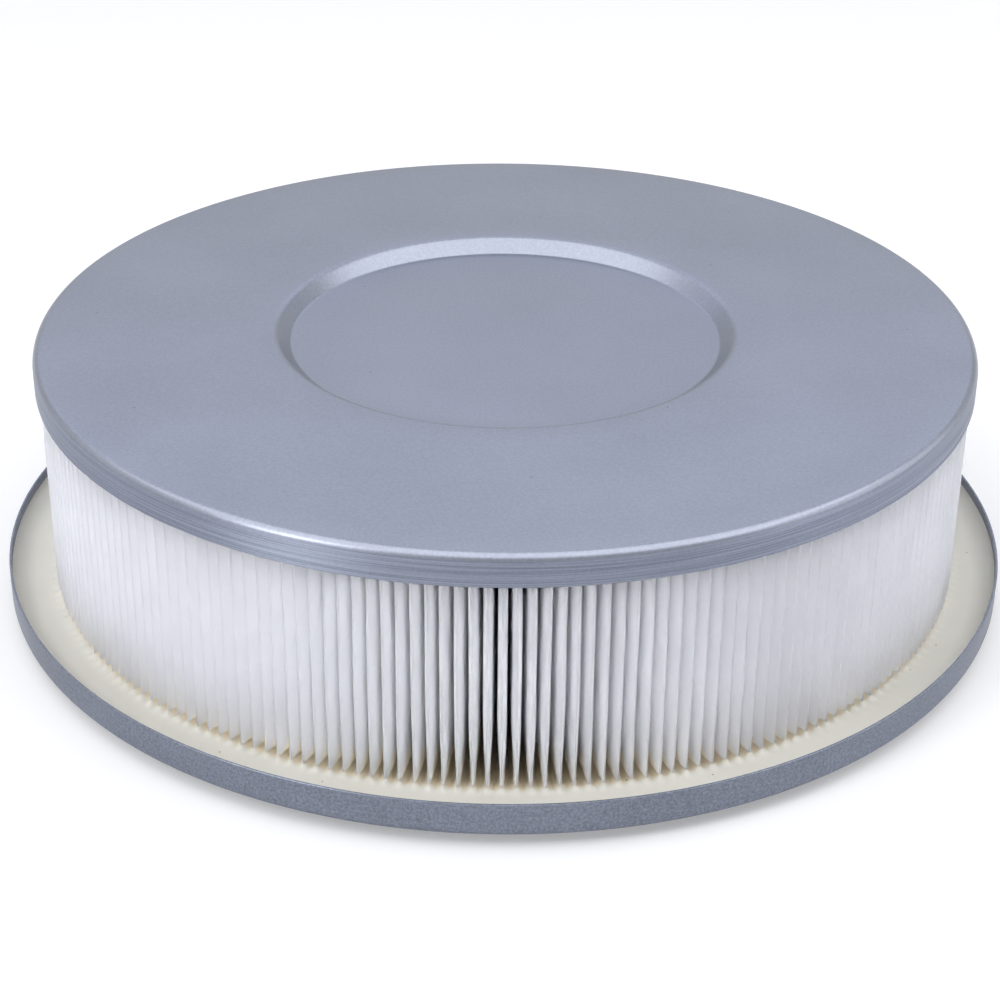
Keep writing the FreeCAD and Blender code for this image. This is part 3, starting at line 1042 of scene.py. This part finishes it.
def climbing_tree():
    tree, given, keys = new_geometry_tree("climbing_resin", {
        "Pool": "NodeSocketGeometry",
        "Paper": "NodeSocketObject",
        "Level": "NodeSocketFloat",
        "Rise": "NodeSocketFloat",
        "Reach": "NodeSocketFloat",
        "Material": "NodeSocketMaterial",
    })
    folds = add_node(tree, "GeometryNodeObjectInfo", {"Object": given["Paper"]}).outputs["Geometry"]
    gap = add_node(tree, "GeometryNodeProximity", {0: folds}, target_element="FACES").outputs["Distance"]
    ratio = add_node(tree, "ShaderNodeMath", {0: gap, 1: given["Reach"]}, operation="DIVIDE").outputs[0]
    near = add_node(tree, "ShaderNodeMath", {0: -1.0, 1: ratio}, operation="MULTIPLY").outputs[0]
    share = add_node(tree, "ShaderNodeMath", {0: near}, operation="EXPONENT").outputs[0]
    lift = add_node(tree, "ShaderNodeMath", {0: share, 1: given["Rise"]}, operation="MULTIPLY").outputs[0]
    place = add_node(tree, "GeometryNodeInputPosition").outputs[0]
    height = add_node(tree, "ShaderNodeSeparateXYZ", {0: place}).outputs["Z"]
    on_top = add_node(
        tree, "ShaderNodeMath", {0: height, 1: given["Level"]}, operation="GREATER_THAN"
    ).outputs[0]
    offset = add_node(tree, "ShaderNodeCombineXYZ", {2: lift}).outputs[0]
    lifted = add_node(
        tree,
        "GeometryNodeSetPosition",
        {"Geometry": given["Pool"], "Selection": on_top, "Offset": offset},
    ).outputs[0]
    end_tree(tree, lifted, given["Material"])
    return tree, keys


# %% Pour the resin
MENISCUS_WIDTH = 6.0
MENISCUS_CURVE = 2.2
POOL_LEVEL = RESIN_LEVEL - 1.3
JUST_BELOW = 0.1
STEPS_PER_PLEAT = 8
HIDDEN_RINGS = [LINER_RADIUS, 80, 95]
FINE_RING = 0.55
FINE_FROM = PLEAT_TIP - 11


def resin_height(radius):
    """The pool's surface: level under the pleats, and a curve up the rim."""
    climb = max(0.0, radius - (RESIN_RADIUS - MENISCUS_WIDTH)) / MENISCUS_WIDTH
    return POOL_LEVEL + (RESIN_AT_RIM - POOL_LEVEL) * climb ** MENISCUS_CURVE


fine_rings = math.ceil((RESIN_RADIUS - FINE_FROM) / FINE_RING)
radii = [FINE_FROM + (RESIN_RADIUS - FINE_FROM) * i / fine_rings for i in range(fine_rings + 1)]
surface = [(radius, resin_height(radius)) for radius in HIDDEN_RINGS + radii]
pool = spun(
    "poured_resin",
    surface + [(RESIN_RADIUS, PAN_FLOOR), (LINER_RADIUS, PAN_FLOOR)],
    resin,
    PLEATS * STEPS_PER_PLEAT,
)
tree, keys = climbing_tree()
poured = grow("resin_pool", tree, keys, {
    "Paper": pleats,
    "Level": (POOL_LEVEL - JUST_BELOW) * MM,
    "Rise": 1.5 * MM,
    "Reach": 0.7 * MM,
    "Material": resin,
}, pool.data)
bpy.data.objects.remove(pool)
settle(poured)
smooth(poured.data)
stands_for(poured, "bottom_potting")

# %% [markdown]
# ## The foam gasket
#
# A flat ring cut from foam sheet. Its cut edges are soft, so the section has rounded corners.

# %% The foam gasket
GASKET_WIDTH = 12.0
FOAM_EDGE = 0.6
inside = GASKET_RADIUS - GASKET_WIDTH
middle = GASKET_RADIUS - GASKET_WIDTH / 2
outline = bent_line([
    (middle, GASKET_FOOT, 0),
    (inside, GASKET_FOOT, FOAM_EDGE),
    (inside, GASKET_TOP, FOAM_EDGE),
    (GASKET_RADIUS, GASKET_TOP, FOAM_EDGE),
    (GASKET_RADIUS, GASKET_FOOT, FOAM_EDGE),
    (middle, GASKET_FOOT, 0),
])
gasket = spun("foam_ring", [place for place, normal in outline[:-1]], foam)
smooth(gasket.data)
stands_for(gasket, "flange_gasket")

# %% [markdown]
# ## The resin under the cap
#
# The cap is filled in the same way, upside down, so the resin there has taken the shape of the cap's inside,
# with its bend. Only a flat ring of it can be seen, from below and through the pleats.

# %% The resin under the cap
UPPER_RADIUS, UPPER_FACE, UPPER_TOP = span("top_potting")
LINER_EDGE = 0.3
upper_line = bent_line([
    (LINER_RADIUS, UPPER_FACE, 0),
    (LINER_RADIUS, UPPER_TOP, LINER_EDGE),
    (UPPER_RADIUS, UPPER_TOP, SHOULDER_BEND - SHEET),
    (UPPER_RADIUS, UPPER_FACE, 0),
])
upper_resin = spun("upper_resin", [place for place, normal in upper_line], resin)
smooth(upper_resin.data)
stands_for(upper_resin, "top_potting")

# %% [markdown]
# ## The liner
#
# The liner is right as the CAD has it, so it keeps its shape and gets the finish of the galvanised steel.

# %% Finish on the liner
liner = frame["nodes"]["inner_liner"]
liner.data.materials.clear()
liner.data.materials.append(pan_zinc)
print(f"{liner.name}: keeps its shape, finish {pan_zinc.name}")

# %% [markdown]
# ## Floor and backdrop
#
# A product picture on white needs a floor that is white to the eye and in mirrored light, but which still
# takes the soft shadow under the part. The floor is matt, and to rays from the camera and to mirrored rays
# it adds a white glow, so the background is plain white without more light on the filter. The glow is
# stronger out where the lamps don't reach. The world is done in the same way, a little dimmer where it is
# mirrored.

# %% Floor and world
FLOOR_HALF = 6.0
LIT_FLOOR = 0.55
DARK_FLOOR = 1.5


def seen_or_mirrored(tree, mirrored_share=1.0):
    """1 for rays from the camera, the share for a glossy bounce or through glass, else 0."""
    ray = add_node(tree, "ShaderNodeLightPath").outputs
    mirrored = add_node(
        tree, "ShaderNodeMath", {0: ray["Is Glossy Ray"], 1: ray["Is Transmission Ray"]}, operation="MAXIMUM"
    ).outputs[0]
    dimmed = add_node(
        tree, "ShaderNodeMath", {0: mirrored, 1: mirrored_share}, operation="MULTIPLY"
    ).outputs[0]
    return add_node(
        tree, "ShaderNodeMath", {0: ray["Is Camera Ray"], 1: dimmed}, operation="MAXIMUM"
    ).outputs[0]


def white_floor(near_glow, far_glow):
    """Matt white with a glow for the eye, stronger out where the lamps don't reach; glow 1 is white."""
    material, tree, place = new_material("white_studio_floor")
    matt = add_node(tree, "ShaderNodeBsdfDiffuse", {"Color": linear("#e4e4e6")}).outputs[0]
    distance = add_node(tree, "ShaderNodeVectorMath", {0: place}, operation="LENGTH").outputs["Value"]
    glow = add_node(
        tree,
        "ShaderNodeMapRange",
        {
            "Value": distance,
            "From Min": LIT_FLOOR,
            "From Max": DARK_FLOOR,
            "To Min": near_glow,
            "To Max": far_glow,
        },
    ).outputs["Result"]
    strength = add_node(
        tree, "ShaderNodeMath", {0: seen_or_mirrored(tree), 1: glow}, operation="MULTIPLY"
    ).outputs[0]
    light = add_node(tree, "ShaderNodeEmission", {"Strength": strength}).outputs[0]
    both = add_node(tree, "ShaderNodeAddShader", {0: matt, 1: light}).outputs[0]
    add_node(tree, "ShaderNodeOutputMaterial", {"Surface": both})
    return material


floor_mesh = bpy.data.meshes.new("studio_floor")
corners = [(x * FLOOR_HALF, y * FLOOR_HALF, 0) for x, y in ((-1, -1), (1, -1), (1, 1), (-1, 1))]
floor_mesh.from_pydata(corners, [], [(0, 1, 2, 3)])
floor_mesh.materials.append(white_floor(near_glow=0.32, far_glow=1.0))
floor = add_object("studio_floor", floor_mesh)

MIRRORED_SKY = 0.8
world = bpy.data.worlds.new("white_studio")
world.use_nodes = True
world.node_tree.nodes.clear()
strength = seen_or_mirrored(world.node_tree, MIRRORED_SKY)
sky = add_node(world.node_tree, "ShaderNodeBackground", {"Color": linear("#ffffff"), "Strength": strength})
add_node(world.node_tree, "ShaderNodeOutputWorld", {"Surface": sky.outputs[0]})
bpy.context.scene.world = world
print("stage:", floor.name, "and", world.name)

# %% [markdown]
# ## Light
#
# A broad bank hangs over the filter, soft boxes stand on both sides, and a narrow strip at the left front
# gives the shoulder its bright line. A cool panel behind gives the flat top its tone. A panel's brightness
# is chosen as a radiance, where 1 is white, because that is what the metal mirrors. The lamp's power follows
# from it and from the panel's area.

# %% Soft boxes


def soft_box(name, centre, size, radiance, colour="#ffffff"):
    """An area lamp of that size in metres, turned to the filter, that looks as bright as the radiance."""
    lamp = bpy.data.lights.new(name, "AREA")
    lamp.shape = "RECTANGLE"
    lamp.size, lamp.size_y = size
    lamp.energy = radiance * math.pi * size[0] * size[1]
    lamp.color = linear(colour)[:3]
    panel = bpy.data.objects.new(name, lamp)
    panel.location = centre
    aim = Vector((0, 0, CAP_TOP * MM)) - panel.location
    panel.rotation_euler = aim.to_track_quat("-Z", "Y").to_euler()
    bpy.context.scene.collection.objects.link(panel)
    print(f"{name}: {lamp.energy:.1f} W")


COOL = "#dfe9ff"
soft_box("overhead_bank", centre=(0.0, -0.1, 1.25), size=(2.6, 1.6), radiance=1.65)
soft_box("left_front_box", centre=(-0.8, -0.75, 0.6), size=(0.8, 0.9), radiance=0.6)
soft_box("left_side_box", centre=(-1.05, 0.2, 0.65), size=(1.0, 0.9), radiance=0.4)
soft_box("left_strip", centre=(-0.74, -0.62, 0.72), size=(0.3, 0.5), radiance=5.2)
soft_box("right_box", centre=(1.0, 0.0, 0.65), size=(1.3, 0.9), radiance=0.95)
soft_box("back_panel", centre=(-0.15, 1.45, 1.2), size=(2.4, 0.8), radiance=0.77, colour=COOL)

# %% [markdown]
# ## Camera
#
# The view is a little from above, with a moderate lens from about 0.6 m. The lens, place and turn come from
# fitting the ellipses of the rims to the photograph, so the drum shows the same perspective. Yaw and roll
# are small corrections.

# %% Camera
EYE = (0.0, -540.6, 311.0)
LENS = 82.62
PITCH, ROLL, YAW = (math.radians(angle) for angle in (28.552, 0.432, -0.111))

camera_data = bpy.data.cameras.new("photo_view")
camera_data.sensor_width = 36.0
camera_data.lens = LENS
camera = bpy.data.objects.new("photo_view", camera_data)
bpy.context.scene.collection.objects.link(camera)
ahead = Vector((math.sin(YAW) * math.cos(PITCH), math.cos(YAW) * math.cos(PITCH), -math.sin(PITCH)))
level = ahead.cross(Vector((0, 0, 1))).normalized()
above = level.cross(ahead)
right = level * math.cos(ROLL) + above * math.sin(ROLL)
up = above * math.cos(ROLL) - level * math.sin(ROLL)
turned = Matrix((right, up, -ahead)).transposed().to_4x4()
camera.matrix_world = Matrix.Translation(Vector(EYE) * MM) @ turned
bpy.context.scene.camera = camera
bpy.context.scene.view_settings.view_transform = "Standard"
print(f"camera: {LENS} mm lens, {Vector(EYE).length:.0f} mm from the filter's foot")
